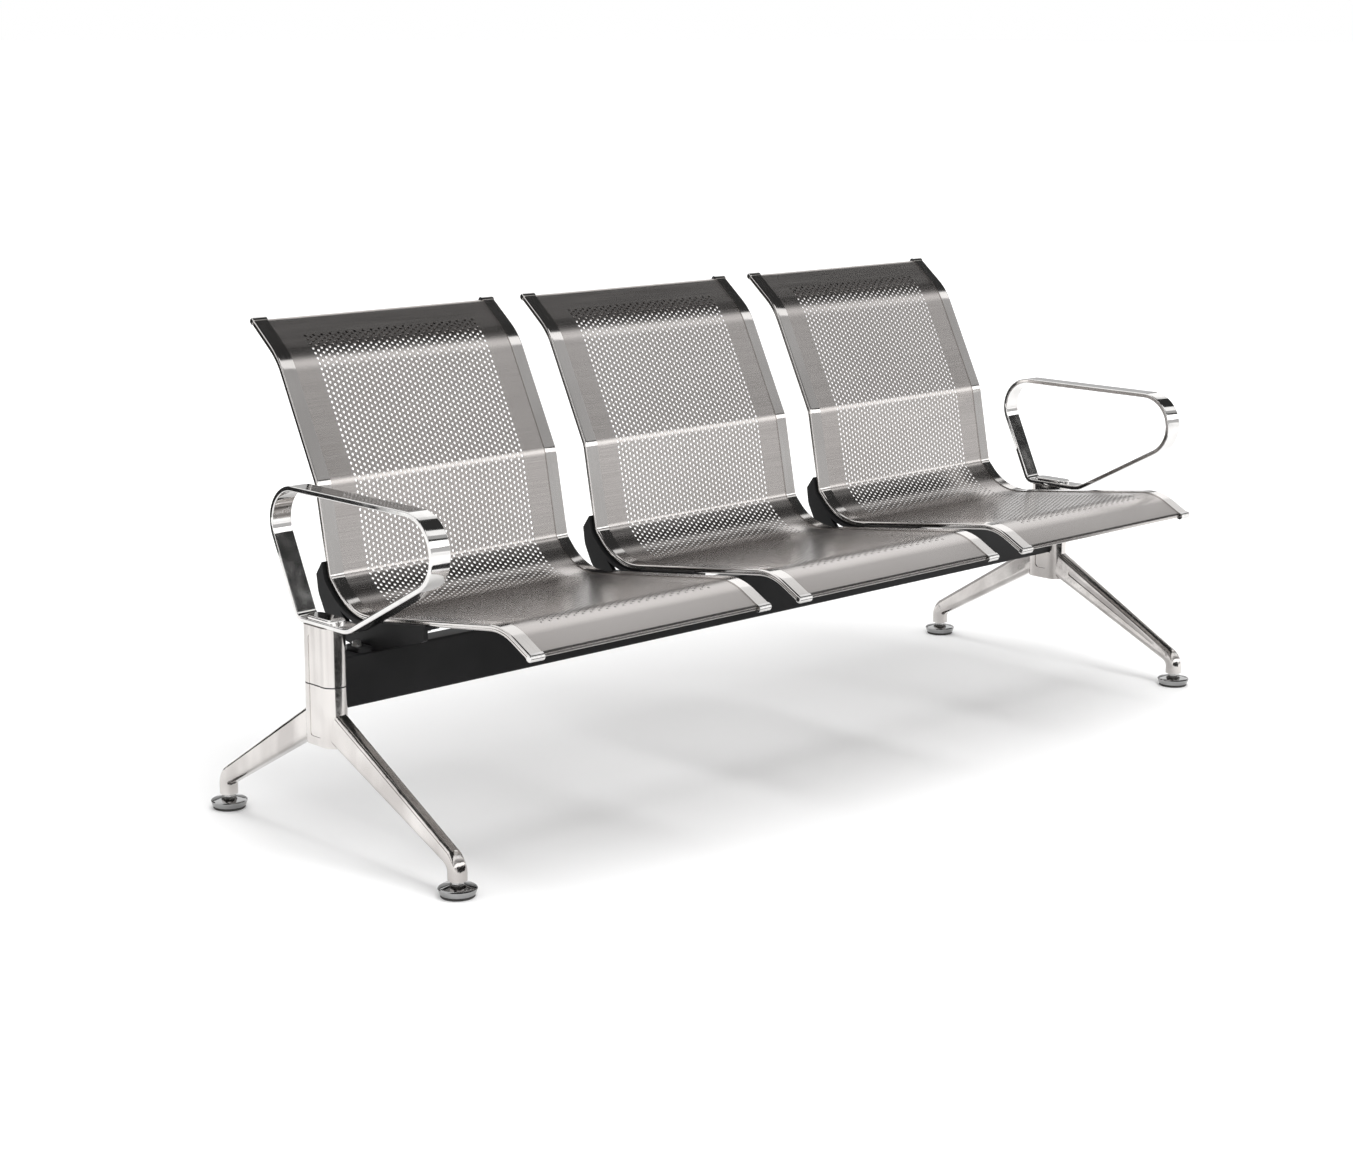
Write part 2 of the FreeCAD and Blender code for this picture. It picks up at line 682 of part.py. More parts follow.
def flank_groove(side):
    """Long round-ended groove on the inward flank of the front arm."""
    along = unit(GROOVE_START, GROOVE_END)
    across = (-along[1], along[0])
    points = [local_point(GROOVE_START, along, across, 0.0, GROOVE_HALF),
              local_point(GROOVE_END, along, across, 0.0, GROOVE_HALF),
              local_point(GROOVE_END, along, across, 0.0, -GROOVE_HALF),
              local_point(GROOVE_START, along, across, 0.0, -GROOVE_HALF)]
    near = side * (LEG_X - COLUMN_WIDTH / 2 - 5.0)
    far = side * (LEG_X - GROOVE_FLOOR)
    return outline_solid(points, [GROOVE_HALF - 0.1] * 4, near, far)


def leg(side):
    x = side * LEG_X
    hub = round_ended(x, COLUMN_WIDTH, COLUMN_LENGTH, HUB_BASE, SEAM_LOW)
    body = fuse_all([hub, leg_arm(x, FRONT_ARM), leg_arm(x, REAR_ARM)])
    tools = [beam_socket(side, BEAM_BASE - SOCKET_GAP, SEAM_LOW + 1.0)]
    tools += clamp_bores(x, HUB_BASE - 20.0, SEAM_LOW + 1.0, BOLT_HOLE_R)
    tools += clamp_bores(x, HUB_BASE - 40.0, CLAMP_SEAT, COUNTERBORE_R)
    tools += [cylinder(STEM_BORE_R, x, y, LEG_END - 1.0, STEM_BORE_TOP) for y in (FRONT_FOOT_Y, REAR_FOOT_Y)]
    tools += [outer_panel(side, PANEL_Z[0], SEAM_LOW + 1.0), inner_recess(side), flank_groove(side)]
    return cut_all(body, tools)


def column(side):
    x = side * LEG_X
    body = round_ended(x, COLUMN_WIDTH, COLUMN_LENGTH, SEAM_HIGH, COLUMN_TOP)
    tools = [beam_socket(side, SEAM_HIGH - 1.0, BEAM_TOP + SOCKET_GAP)]
    tools += clamp_bores(x, SEAM_HIGH - 1.0, CLAMP_TIP + 2.0, BOLT_R + THREAD_GAP)
    tools += [cylinder(ARM_THREAD_R, x, y, COLUMN_TOP - ARM_THREAD_DEPTH, COLUMN_TOP + 1.0) for y in ARM_SCREWS]
    tools += [outer_panel(side, SEAM_HIGH - 1.0, PANEL_Z[1])]
    return cut_all(body, tools)


def gasket(side):
    x = side * LEG_X
    width = COLUMN_WIDTH - 2 * GASKET_INSET
    length = COLUMN_LENGTH - 2 * GASKET_INSET
    plate = round_ended(x, width, length, SEAM_LOW, SEAM_HIGH)
    tools = [beam_socket(side, SEAM_LOW - 1.0, SEAM_HIGH + 1.0)]
    tools += clamp_bores(x, SEAM_LOW - 1.0, SEAM_HIGH + 1.0, BOLT_HOLE_R)
    return cut_all(plate, tools)


def clamp_bolts(side):
    x = side * LEG_X
    bolts = []
    for y in (-CLAMP_Y, CLAMP_Y):
        shank = cylinder(BOLT_R, x, y, CLAMP_SEAT - 1.0, CLAMP_TIP)
        head = cylinder(CLAMP_HEAD_R, x, y, CLAMP_SEAT - CLAMP_HEAD_H, CLAMP_SEAT)
        head_base = CLAMP_SEAT - CLAMP_HEAD_H
        socket = hexagon(CLAMP_KEY, x, y, head_base - 1.0, head_base + CLAMP_KEY_DEPTH)
        bolts.append(shank.fuse(head).removeSplitter().cut(socket))
    return Part.makeCompound(bolts)


# Bent flat-bar armrest on top of the column
def armrest(side):
    low = side * LEG_X - BAR_WIDTH / 2
    high = side * LEG_X + BAR_WIDTH / 2
    outer = outline_solid(LOOP_POINTS, LOOP_RADII, low, high)
    points, radii = offset_path(LOOP_POINTS, LOOP_RADII, -BAR_THICK, True)
    loop = outer.cut(outline_solid(points, radii, low - 1.0, high + 1.0))
    rims = [e for e in loop.Edges if all(abs(v.X - e.Vertexes[0].X) < 1e-6 for v in e.Vertexes)]
    loop = loop.makeFillet(BAR_ROUND, rims)
    for y in ARM_SCREWS:
        loop = loop.cut(cylinder(ARM_HOLE_R, side * LEG_X, y, COLUMN_TOP - 1.0, COLUMN_TOP + BAR_THICK + 1.0))
    return loop


def armrest_plate(side):
    """Round-ended cover over the two screws, hollow below."""
    x = side * LEG_X
    low = COLUMN_TOP + BAR_THICK
    plate = round_ended(x, PLATE_WIDTH, PLATE_LENGTH, low, low + PLATE_HEIGHT)
    top_rim = [e for e in plate.Edges if all(abs(v.Z - low - PLATE_HEIGHT) < 1e-6 for v in e.Vertexes)]
    plate = plate.makeFillet(PLATE_ROUND, top_rim)
    pocket = round_ended(x, PLATE_WIDTH - 2 * PLATE_WALL, PLATE_LENGTH - 2 * PLATE_WALL, low - 1.0,
                         low + PLATE_HEIGHT - PLATE_TOP)
    plate = plate.cut(pocket)
    plate.translate(V(0, PLATE_Y, 0))
    return plate


def armrest_screws(side):
    x = side * LEG_X
    top = COLUMN_TOP + BAR_THICK
    screws = []
    for y in ARM_SCREWS:
        shank = cylinder(ARM_SCREW_R, x, y, COLUMN_TOP - ARM_SCREW_REACH, top + 1.0)
        head = cylinder(ARM_SCREW_HEAD_R, x, y, top, top + ARM_SCREW_HEAD_H)
        screws.append(shank.fuse(head).removeSplitter())
    return Part.makeCompound(screws)


# Levelling glide: threaded stem, flared chrome cap and dark pad
def glide_stem(x, y):
    collar = hexagon(COLLAR_FLATS, x, y, COLLAR_LOW + 2.0, LEG_END)
    shank = cylinder(STEM_R, x, y, LEG_END - 1.0, STEM_TOP)
    ball = cylinder(6.0, x, y, 9.0, COLLAR_LOW + 2.5)
    return fuse_all([collar, shank, ball])


def turned(profile, x, y):
    points = [V(x + r, y, z) for r, z in profile]
    points.append(points[0])
    face = Part.Face(Part.makePolygon(points))
    return face.revolve(V(x, y, 0), V(0, 0, 1), 360)


def glide_cap(x, y):
    return turned([(6.06, 18.5), (11.0, 18.5), (27.0, 14.5), (CAP_R, 12.8), (CAP_R, 11.2), (26.4, 4.4),
                   (PAD_R - 1.2, 4.4), (PAD_R - 1.2, 8.5), (6.06, 8.5)], x, y)


def glide_pad(x, y):
    return turned([(0.0, 0.0), (PAD_R - 0.8, 0.0), (PAD_R, 0.8), (PAD_R, 4.1), (PAD_R - 1.5, 4.1),
                   (PAD_R - 1.5, 8.5), (0.0, 8.5)], x, y)


GLIDES = {
    "front_left": (-LEG_X, FRONT_FOOT_Y),
    "rear_left": (-LEG_X, REAR_FOOT_Y),
    "front_right": (LEG_X, FRONT_FOOT_Y),
    "rear_right": (LEG_X, REAR_FOOT_Y),
}
SIDE_NAMES = {-1: "left", 1: "right"}


def all_nodes():
    nodes = {"beam": beam(), "beam_nuts": beam_nuts()}
    for seat in SEATS:
        name = "seat_%d" % seat
        nodes[name + "_shell"] = seat_shell(seat)
        nodes[name + "_top_end_caps"] = end_caps(seat, 0)
        nodes[name + "_front_end_caps"] = end_caps(seat, 1)
        nodes[name + "_rail_screws"] = rail_screws(seat)
        nodes[name + "_bracket_bolts"] = bracket_bolts(seat)
        for side, word in SIDE_NAMES.items():
            nodes["%s_%s_rail" % (name, word)] = side_rail(seat, side)
            nodes["%s_%s_bracket" % (name, word)] = bracket(seat, side)
    for side, word in SIDE_NAMES.items():
        nodes[word + "_leg"] = leg(side)
        nodes[word + "_column"] = column(side)
        nodes[word + "_column_gasket"] = gasket(side)
        nodes[word + "_clamp_bolts"] = clamp_bolts(side)
        nodes[word + "_armrest"] = armrest(side)
        nodes[word + "_armrest_plate"] = armrest_plate(side)
        nodes[word + "_armrest_screws"] = armrest_screws(side)
    for place, (x, y) in GLIDES.items():
        nodes[place + "_glide_stem"] = glide_stem(x, y)
        nodes[place + "_glide_cap"] = glide_cap(x, y)
        nodes[place + "_glide_pad"] = glide_pad(x, y)
    return nodes


def main():
    total = None
    for name, shape in all_nodes().items():
        shape.translate(V(0, BEAM_Y, 0))
        shape.exportStep("parts/%s.step" % name)
        bounds = shape.BoundBox
        facts = (name, len(shape.Solids), shape.Volume, shape.isValid())
        print("%-28s solids %2d  volume %9.0f  valid %s" % facts)
        if total is None:
            total = FreeCAD.BoundBox(bounds)
        else:
            total.add(bounds)
    limits = (total.XMin, total.XMax, total.YMin, total.YMax, total.ZMin, total.ZMax)
    print("box", [round(v, 2) for v in limits])


main()
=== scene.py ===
# %% [markdown]
# # A three-place waiting bench on one beam
#
# The bench in the photograph is bright metal almost everywhere: perforated sheet
# seats, polished side rails, plated armrests and cast legs, all carried by one
# black beam. Its construction is already fixed by the CAD frame, so this script
# keeps that frame, dresses every part, and rebuilds only the three seat sheets.
# In the CAD a plain grid of openings stands for their four thousand small holes.

# %% Load the frame
import json
import math
import bmesh
import bpy
from mathutils import Matrix, Vector


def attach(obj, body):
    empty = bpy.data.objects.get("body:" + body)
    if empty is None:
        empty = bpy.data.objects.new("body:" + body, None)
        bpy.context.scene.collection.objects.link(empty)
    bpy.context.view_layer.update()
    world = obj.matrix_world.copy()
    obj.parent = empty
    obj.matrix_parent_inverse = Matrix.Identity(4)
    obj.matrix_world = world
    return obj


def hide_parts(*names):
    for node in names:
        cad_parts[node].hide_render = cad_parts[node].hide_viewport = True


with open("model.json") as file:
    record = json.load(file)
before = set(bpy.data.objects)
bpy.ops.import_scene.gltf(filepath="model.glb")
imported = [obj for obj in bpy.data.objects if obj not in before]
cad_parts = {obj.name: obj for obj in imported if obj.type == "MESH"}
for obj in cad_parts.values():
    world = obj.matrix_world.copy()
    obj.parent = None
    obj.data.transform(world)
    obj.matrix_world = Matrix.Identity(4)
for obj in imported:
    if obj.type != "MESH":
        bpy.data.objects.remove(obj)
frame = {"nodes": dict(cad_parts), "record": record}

nodes = frame["nodes"]
slot_of = {part["node"]: part["material_slot"] for part in frame["record"]["subparts"]}
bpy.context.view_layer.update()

# %% [markdown]
# ## The side outline of a seat
#
# A seat sheet is one flat blank that is bent five times. The mesh could be drawn
# in its bent shape, but then the holes would have to be placed on curved metal.
# So the outline is described here as the bender would read it, as a chain of
# straight runs and bends, and each distance along it gives a place.

# %% Sizes of the seat sheet in millimetres
MM = 0.001
SEAT_PITCH = 548.0
BEAM_Y = 41.0
CORNERS = [
    (275.0, 768.0),
    (212.0, 717.0),
    (119.5, 533.0),
    (92.0, 391.0),
    (42.5, 338.0),
    (-317.0, 383.5),
    (-375.0, 352.0),
]
BEND_RADII = [110.0, 40.0, 18.0, 105.0, 90.0]
SHEET = 1.5
SHEET_HALF = 231.5
HEM_HALF = 213.0
HEM_GAP = 1.6
TOP_RETURN = 62.0
FRONT_RETURN = 12.0
print("sheet", 2 * SHEET_HALF, "mm wide and", SHEET, "mm thick, bends", BEND_RADII)

# %% Straight runs and bends of the side outline
def heading(start, end):
    return math.atan2(end[1] - start[1], end[0] - start[0])


def outline_runs(corners, radii):
    """Pairs of (length, turn) along a chain of straight runs and round bends."""
    headings = [heading(a, b) for a, b in zip(corners, corners[1:])]
    turns = [math.remainder(b - a, math.tau) for a, b in zip(headings, headings[1:])]
    reaches = [radius * math.tan(abs(turn) / 2) for radius, turn in zip(radii, turns)]
    before = [0.0] + reaches
    after = reaches + [0.0]
    runs = []
    for index, (a, b) in enumerate(zip(corners, corners[1:])):
        runs.append((math.dist(a, b) - before[index] - after[index], 0.0))
        if index < len(turns):
            runs.append((radii[index] * abs(turns[index]), turns[index]))
    return runs


RUNS = outline_runs(CORNERS, BEND_RADII)
SHEET_LENGTH = sum(length for length, turn in RUNS)
HEM_ROUND = SHEET + HEM_GAP / 2
HEM_ARC = math.pi * HEM_ROUND
print("flat length of a seat sheet", round(SHEET_LENGTH, 1), "mm")


def walk(point, direction, runs, distance):
    """The point reached after a distance along the runs."""
    y, z = point
    for length, turn in runs:
        step = min(distance, length)
        if turn == 0.0:
            y += step * math.cos(direction)
            z += step * math.sin(direction)
        else:
            bend = turn / length
            y += (math.sin(direction + bend * step) - math.sin(direction)) / bend
            z += (math.cos(direction) - math.cos(direction + bend * step)) / bend
            direction += bend * step
        distance -= step
        if distance <= 0.0:
            break
    return y, z


TOP_HEM = [(HEM_ARC, -math.pi), (TOP_RETURN, 0.0)]
FRONT_HEM = [(HEM_ARC, math.pi), (FRONT_RETURN, 0.0)]


def on_outline(distance):
    """A place on the sheet's front face; the hems lie before 0 and after the length."""
    if distance < 0.0:
        return walk(CORNERS[0], heading(CORNERS[1], CORNERS[0]), TOP_HEM, -distance)
    if distance > SHEET_LENGTH:
        return walk(CORNERS[-1], heading(CORNERS[-2], CORNERS[-1]), FRONT_HEM, distance - SHEET_LENGTH)
    return walk(CORNERS[0], heading(CORNERS[0], CORNERS[1]), RUNS, distance)


# %% [markdown]
# ## The perforated blank
#
# The real sheet is punched flat and bent afterwards, and the mesh is made in the
# same order. The holes stand in close columns, each column half a step below its
# neighbours. Cutting them out with a Boolean would be slow and leave slivers, and
# a texture would have no edge. Here one grid holds all of them: the four squares
# around a hole's centre become one face when that centre is dissolved. An inset
# makes the metal around the hole, and its inner face is rounded and removed.

# %% Punch the blank
HOLE_COLUMNS = 43
HOLE_ROWS = 90
HOLE_STEP = 9.2
COLUMN_STEP = 8.0
HOLE_RADIUS = 2.5
FIRST_INSET = 1.0
CELL_CORNERS = 8
FIELD_START = 36.0
FIELD_WIDTH = HOLE_COLUMNS * COLUMN_STEP
FIELD_LENGTH = HOLE_ROWS * HOLE_STEP


def is_hole_centre(vert):
    column, column_half = divmod(round((vert.co.x + FIELD_WIDTH / 2) / (COLUMN_STEP / 2)), 2)
    row_half = round((vert.co.y - FIELD_START) / (HOLE_STEP / 2))
    inside = 0 < row_half < 2 * HOLE_ROWS
    return column_half == 1 and inside and row_half % 2 == (column + 1) % 2


def punched_field():
    """The flat field of holes: X across the seat, Y down the sheet."""
    blank = bmesh.new()
    bmesh.ops.create_grid(blank, x_segments=2 * HOLE_COLUMNS, y_segments=2 * HOLE_ROWS, size=0.5)
    bmesh.ops.scale(blank, verts=blank.verts, vec=(FIELD_WIDTH, FIELD_LENGTH, 1.0))
    middle = FIELD_START + FIELD_LENGTH / 2
    bmesh.ops.translate(blank, verts=blank.verts, vec=(0.0, middle, 0.0))
    centres = [vert for vert in blank.verts if is_hole_centre(vert)]
    bmesh.ops.dissolve_verts(blank, verts=centres)
    cells = [face for face in blank.faces if len(face.verts) == CELL_CORNERS]
    bmesh.ops.inset_individual(blank, faces=cells, thickness=FIRST_INSET, use_even_offset=True)
    for cell in cells:
        centre = cell.calc_center_median()
        for vert in cell.verts:
            vert.co = centre + (vert.co - centre).normalized() * HOLE_RADIUS
    bmesh.ops.delete(blank, geom=cells, context="FACES")
    print("holes in one seat", len(cells))
    return blank


print("field of holes", FIELD_WIDTH, "by", round(FIELD_LENGTH, 1), "mm")


# %% [markdown]
# ## Plain margins, hems and the bend
#
# Clear metal is left around the field. The edges of the field are pulled out to
# the hems' width, on to the folds at the top and the lip, and last of all under
# the side rails, where the sheet has no hem. The top hem is folded back a long
# way, because no light shows through the holes of the headrest. Then each vertex
# moves from its flat place to its place on the bent outline, and the wall gets
# its thickness on the side away from the sitter. A Simple Deform modifier bends
# round one radius only, and this sheet has five.

# %% Margins and hems
TOLERANCE = 0.01
FOLD_EASE = 3.0
HEM_STEPS = 4
KNEE_STEPS = 4
KNEE_END = sum(length for length, turn in RUNS[:-1])
FIELD_END = FIELD_START + FIELD_LENGTH


def near(a, b):
    return abs(a - b) < TOLERANCE


def pull(mesh, edges, move):
    """Extrude open edges by one step."""
    made = bmesh.ops.extrude_edge_only(mesh, edges=edges)["geom"]
    verts = [item for item in made if isinstance(item, bmesh.types.BMVert)]
    bmesh.ops.translate(mesh, verts=verts, vec=move)


def open_edges(mesh, axis, value, low=-math.inf, high=math.inf):
    """Open edges that lie on one line, between two places along it."""
    other = 1 - axis
    found = []
    for edge in mesh.edges:
        on_line = all(near(vert.co[axis], value) for vert in edge.verts)
        between = all(low <= vert.co[other] <= high for vert in edge.verts)
        if edge.is_boundary and on_line and between:
            found.append(edge)
    return found


def hem_stops(sheet_end, direction, hem_return):
    """Places across a fold, from just before it to the end of the part folded back."""
    stops = [sheet_end - direction * FOLD_EASE]
    for step in range(HEM_STEPS + 1):
        stops.append(sheet_end + direction * HEM_ARC * step / HEM_STEPS)
    return stops + [sheet_end + direction * (HEM_ARC + hem_return)]


def add_margins(blank):
    for side in (-1, 1):
        edges = open_edges(blank, 0, side * FIELD_WIDTH / 2)
        pull(blank, edges, (side * (HEM_HALF - FIELD_WIDTH / 2), 0.0, 0.0))
    knee_step = (KNEE_END - FIELD_END) / KNEE_STEPS
    knee_stops = [FIELD_END + knee_step * step for step in range(1, KNEE_STEPS + 1)]
    top = [FIELD_START] + hem_stops(0.0, -1, TOP_RETURN)
    front = [FIELD_END] + knee_stops + hem_stops(SHEET_LENGTH, 1, FRONT_RETURN)
    for stops in (top, front):
        for start, end in zip(stops, stops[1:]):
            pull(blank, open_edges(blank, 1, start), (0.0, end - start, 0.0))
    for side in (-1, 1):
        edges = open_edges(blank, 0, side * HEM_HALF, -TOLERANCE, SHEET_LENGTH + TOLERANCE)
        pull(blank, edges, (side * (SHEET_HALF - HEM_HALF), 0.0, 0.0))


print("the field ends", round(KNEE_END - FIELD_END, 1), "mm before the straight lip")

# %% Bend the blank and give it its thickness
# In square metres. Only the walls of the holes have smaller faces.
WALL_AREA = 4e-6
SHEET_CORNER_ANGLE = 40.0
TO_SITTER = Vector((0.0, -1.0, 0.5))


def face_the_sitter(mesh):
    """On a seat sheet the first normals point up or to the front."""
    bmesh.ops.recalc_face_normals(mesh, faces=mesh.faces)
    seat_pan = max(mesh.faces, key=lambda face: face.calc_area())
    if seat_pan.normal.dot(TO_SITTER) < 0.0:
        bmesh.ops.reverse_faces(mesh, faces=mesh.faces)


def bent_sheet(name):
    sheet = punched_field()
    add_margins(sheet)
    bmesh.ops.remove_doubles(sheet, verts=sheet.verts, dist=TOLERANCE)
    for vert in sheet.verts:
        y, z = on_outline(vert.co.y)
        vert.co = Vector((vert.co.x, y + BEAM_Y, z)) * MM
    face_the_sitter(sheet)
    bmesh.ops.solidify(sheet, geom=sheet.faces[:], thickness=SHEET * MM)
    for face in sheet.faces:
        face.material_index = int(face.calc_area() < WALL_AREA)
    mesh = bpy.data.meshes.new(name)
    sheet.to_mesh(mesh)
    sheet.free()
    return mesh


def smooth(mesh, degrees):
    """Round shading, broken where the surface turns sharply."""
    mesh.polygons.foreach_set("use_smooth", [True] * len(mesh.polygons))
    mesh.set_sharp_from_angle(angle=math.radians(degrees))


def triangles(mesh):
    return sum(len(face.vertices) - 2 for face in mesh.polygons)


middle_sheet = bent_sheet("seat_2_perforated_sheet")
smooth(middle_sheet, SHEET_CORNER_ANGLE)
print("triangles in one sheet", triangles(middle_sheet))

# %% [markdown]
# ## Three seats from one mesh
#
# The three seats of a real bench are the same product. Building the mesh three
# times would take three times as long, so it is made once for the middle seat and
# copied one seat pitch to each side. Each sheet stands in for its CAD shell and
# rides on the body that carried it.


sheets = []
replaced = []
for seat in (1, 2, 3):
    name = f"seat_{seat}_perforated_sheet"
    shell = f"seat_{seat}_shell"
    mesh = middle_sheet if seat == 2 else middle_sheet.copy()
    mesh.transform(Matrix.Translation(((seat - 2) * SEAT_PITCH * MM, 0.0, 0.0)))
    mesh.name = name
    sheet_piece = bpy.data.objects.new(name, mesh)
    bpy.context.scene.collection.objects.link(sheet_piece)
    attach(sheet_piece, "bench")
    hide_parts(shell)
    sheets.append(sheet_piece)
    replaced.append(shell)

# %% [markdown]
# ## Round shading for the carried parts
#
# A CAD part arrives as loose flat triangles, and polished metal shows each of
# them. Remeshing would move the surface, so its vertices stay as they are. Weld
# joins them for display, Edge Split keeps the true corners sharp, and Weighted
# Normal lets the large faces set the shading beside small fillets.

# %% Display modifiers of the CAD parts
CORNER_ANGLE = math.radians(30.0)
WELD_REACH = 0.00001


def tidy_shading(part):
    part.data.polygons.foreach_set("use_smooth", [True] * len(part.data.polygons))
    weld = part.modifiers.new("join triangles", "WELD")
    weld.merge_threshold = WELD_REACH
    split = part.modifiers.new("keep corners", "EDGE_SPLIT")
    split.split_angle = CORNER_ANGLE
    weighted = part.modifiers.new("flat faces first", "WEIGHTED_NORMAL")
    weighted.keep_sharp = True


for node_name, part in nodes.items():
    if node_name not in replaced:
        tidy_shading(part)
print("parts with display modifiers", len(nodes) - len(replaced))

# %% [markdown]
# ## Shader expressions
#
# A finish is easier to read as a formula than as a list of nodes. A Wire holds
# one output of a node, and its operators add Math nodes. A Board holds a node
# tree and adds every other kind of node. A Finish is the board of one material.

# %% Wires and boards
class Wire:
    """One output of a shader node that can be used in a formula."""

    def __init__(self, board, output):
        self.board = board
        self.output = output

    def maths(self, operation, *values):
        settings = {"operation": operation}
        return self.board.add("ShaderNodeMath", settings, dict(enumerate(values)))

    def __add__(self, other):
        return self.maths("ADD", self, other)

    def __radd__(self, other):
        return self.maths("ADD", other, self)

    def __sub__(self, other):
        return self.maths("SUBTRACT", self, other)

    def __rsub__(self, other):
        return self.maths("SUBTRACT", other, self)

    def __mul__(self, other):
        return self.maths("MULTIPLY", self, other)

    def __rmul__(self, other):
        return self.maths("MULTIPLY", other, self)


class Board:
    """A node tree that is written as formulas."""

    def __init__(self, tree):
        self.tree = tree

    def add(self, kind, settings=None, sockets=None, output=0):
        node = self.tree.nodes.new(kind)
        for key, value in (settings or {}).items():
            setattr(node, key, value)
        for key, value in (sockets or {}).items():
            self.join(node.inputs[key], value)
        return Wire(self, node.outputs[output])

    def join(self, socket, value):
        if isinstance(value, Wire):
            self.tree.links.new(value.output, socket)
        else:
            socket.default_value = value

    def spread(self, value, low, high, to_low, to_high):
        """Map a value from one range to another and hold it there."""
        ends = {"From Min": low, "From Max": high, "To Min": to_low, "To Max": to_high}
        return self.add("ShaderNodeMapRange", {"clamp": True}, {"Value": value, **ends}, "Result")

    def blend(self, factor, first, second):
        """A colour between two RGB colours; a Mix node has its colours in sockets 6 and 7."""
        sockets = {0: factor, 6: (*first, 1.0), 7: (*second, 1.0)}
        return self.add("ShaderNodeMix", {"data_type": "RGBA"}, sockets, 2)


class Finish(Board):
    """The board of one material, with its shader."""

    def __init__(self, name, **steady):
        self.material = bpy.data.materials.new(name)
        self.material.use_nodes = True
        super().__init__(self.material.node_tree)
        self.shader = self.tree.nodes["Principled BSDF"]
        for word, value in steady.items():
            self.shader.inputs[word.replace("_", " ")].default_value = value

    def feed(self, word, value):
        self.join(self.shader.inputs[word], value)

    def place(self):
        return self.add("ShaderNodeTexCoord", output="Object")

    def noise(self, stretch, detail=2.0):
        """Noise with a number of spots per metre along each axis."""
        spot = {"Vector": self.place(), "Scale": stretch}
        scaled = self.add("ShaderNodeMapping", {"vector_type": "POINT"}, spot)
        sockets = {"Vector": scaled, "Scale": 1.0, "Detail": detail}
        return self.add("ShaderNodeTexNoise", {"noise_dimensions": "3D"}, sockets, "Fac")

    def paint(self, factor, first, second):
        self.feed("Base Color", self.blend(factor, first, second))

    def tell(self):
        print("finish", self.material.name, "has", len(self.tree.nodes), "nodes")

    def bump(self, height, strength, distance):
        sockets = {"Height": height, "Strength": strength, "Distance": distance}
        self.feed("Normal", self.add("ShaderNodeBump", None, sockets, "Normal"))


# %% [markdown]
# ## Brushed seat sheet
#
# The sheets are stainless steel with a fine grain across the seat. An anisotropic
# shader would blur the same way, but it leaves the metal perfectly even. Here the
# grain is noise stretched 150 times along X: it varies the roughness, tilts the
# surface a little, and leaves faint light and dark strokes. A slow noise stands
# for the cloudy mirror of rolled sheet. The hole walls are rougher, like torn
# metal, and painted darker as shade inside the holes, in a finish of their own.

# %% Brushed sheet
brushed_sheet = Finish("brushed_sheet", Metallic=1.0)
grain = brushed_sheet.noise((6.0, 900.0, 900.0), 3.0)
clouds = brushed_sheet.noise((3.0, 5.0, 5.0), 1.0)
tone = brushed_sheet.spread(grain * 0.3 + clouds * 0.7, 0.35, 0.65, 0.0, 1.0)
brushed_sheet.paint(tone, (0.43, 0.405, 0.39), (0.49, 0.465, 0.45))
brushed_sheet.feed("Roughness", brushed_sheet.spread(grain, 0.3, 0.7, 0.21, 0.27))
brushed_sheet.bump(grain * 0.1 + clouds * 2.0, 0.05, 0.0005)
brushed_sheet.tell()

# %% Hole walls, painted darker as shade inside the holes
shaded_hole_wall = Finish("shaded_hole_wall", Metallic=1.0)
tear = shaded_hole_wall.noise((900.0, 900.0, 900.0), 2.0)
# The dark colours of the hole walls are painted shade inside the holes.
shaded_hole_wall.paint(tear, (0.10, 0.095, 0.09), (0.24, 0.23, 0.22))
shaded_hole_wall.feed("Roughness", shaded_hole_wall.spread(tear, 0.3, 0.7, 0.35, 0.55))
shaded_hole_wall.bump(tear, 0.2, 0.0002)
shaded_hole_wall.tell()

# %% [markdown]
# ## Polished rails and castings
#
# The rails are drawn aluminium, polished along their length. The legs and the
# columns are cast, ground and polished by hand with a belt that runs up and down,
# so they carry a faint waviness and soft upright streaks. One function makes both
# castings, because only the share of the streaks differs.

# %% Polished rail
polished_rail = Finish("polished_rail", Metallic=1.0)
draw_lines = polished_rail.noise((600.0, 12.0, 12.0), 2.0)
rail_clouds = polished_rail.noise((4.0, 7.0, 7.0), 1.0)
rail_tone = polished_rail.spread(rail_clouds, 0.35, 0.65, 0.0, 1.0)
polished_rail.paint(rail_tone, (0.58, 0.56, 0.545), (0.68, 0.66, 0.645))
polished_rail.feed("Roughness", polished_rail.spread(draw_lines, 0.3, 0.7, 0.08, 0.14))
polished_rail.bump(draw_lines, 0.04, 0.0001)
polished_rail.tell()


# %% Polished castings
def casting(name, streak_share):
    """Ground and polished cast metal, with some share of upright belt streaks."""
    finish = Finish(name, Metallic=1.0)
    waves = finish.noise((14.0, 14.0, 14.0), 1.0)
    fine = finish.noise((180.0, 180.0, 180.0), 3.0)
    streaks = finish.noise((70.0, 70.0, 3.0), 2.0)
    marks = waves * (1.0 - streak_share) + streaks * streak_share
    cast_tone = finish.spread(marks, 0.36, 0.64, 0.0, 1.0)
    finish.paint(cast_tone, (0.48, 0.455, 0.44), (0.66, 0.635, 0.615))
    finish.feed("Roughness", finish.spread(fine, 0.3, 0.7, 0.10, 0.18))
    finish.bump(waves * 3.0 + fine * 0.1, 0.06, 0.001)
    finish.tell()
    return finish


polished_leg = casting("polished_leg", 0.15)
polished_column = casting("polished_column", 0.75)
